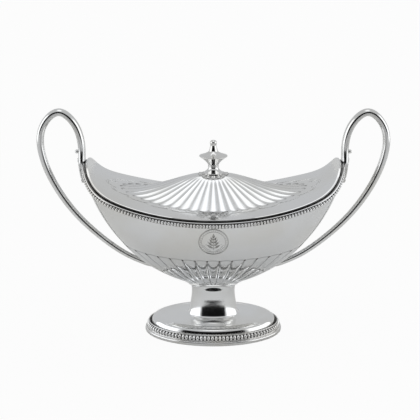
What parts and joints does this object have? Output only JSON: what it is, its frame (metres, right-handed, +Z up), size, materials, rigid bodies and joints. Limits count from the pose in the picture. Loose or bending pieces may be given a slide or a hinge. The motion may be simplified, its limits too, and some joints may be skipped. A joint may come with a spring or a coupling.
{
  "type": "covered sugar bowl",
  "caption": "Boat-shaped covered silver bowl on an oval pedestal foot, with reeded loop handles and a fluted lift-off cover with an urn finial.",
  "frame": {"origin": "middle of the foot's underside, on the surface that the bowl stands on", "axes": "+X through the right-hand handle, -Y towards the front, +Z up"},
  "size_m": [0.24, 0.099, 0.1579],
  "materials": {
    "raised_silver": "hand-polished sterling sheet, fine wear scratches, faint warm tarnish in the corners",
    "cast_silver": "cast and polished sterling, tarnish in the reeding",
    "silver_wire": "drawn and beaded sterling wire, dark tarnish between the beads",
    "silver_hardware": "unpolished silver, slightly dull"
  },
  "bodies": {
    "bowl": {"bowl_shell": "raised_silver", "rim_lip_wire": "silver_wire", "rim_bead_border": "silver_wire", "handle_left": "cast_silver", "handle_right": "cast_silver", "handle_leaf_left": "cast_silver", "handle_leaf_right": "cast_silver", "handle_pellet_left": "cast_silver", "handle_pellet_right": "cast_silver", "pedestal": "raised_silver", "foot_plinth_wire": "silver_wire", "foot_bead_border": "silver_wire"},
    "cover": {"cover_shell": "raised_silver", "cover_edge_wire": "silver_wire", "cover_bezel": "raised_silver", "finial_calyx": "cast_silver", "finial_urn": "cast_silver", "finial_cap": "cast_silver", "finial_stud": "silver_hardware", "finial_washer": "silver_hardware", "finial_nut": "silver_hardware"}
  },
  "joints": [
    {"name": "cover_lift", "type": "slide", "parent": "bowl", "child": "cover", "axis": [0, 0, 1], "range_m": [0, 0.08]}
  ]
}
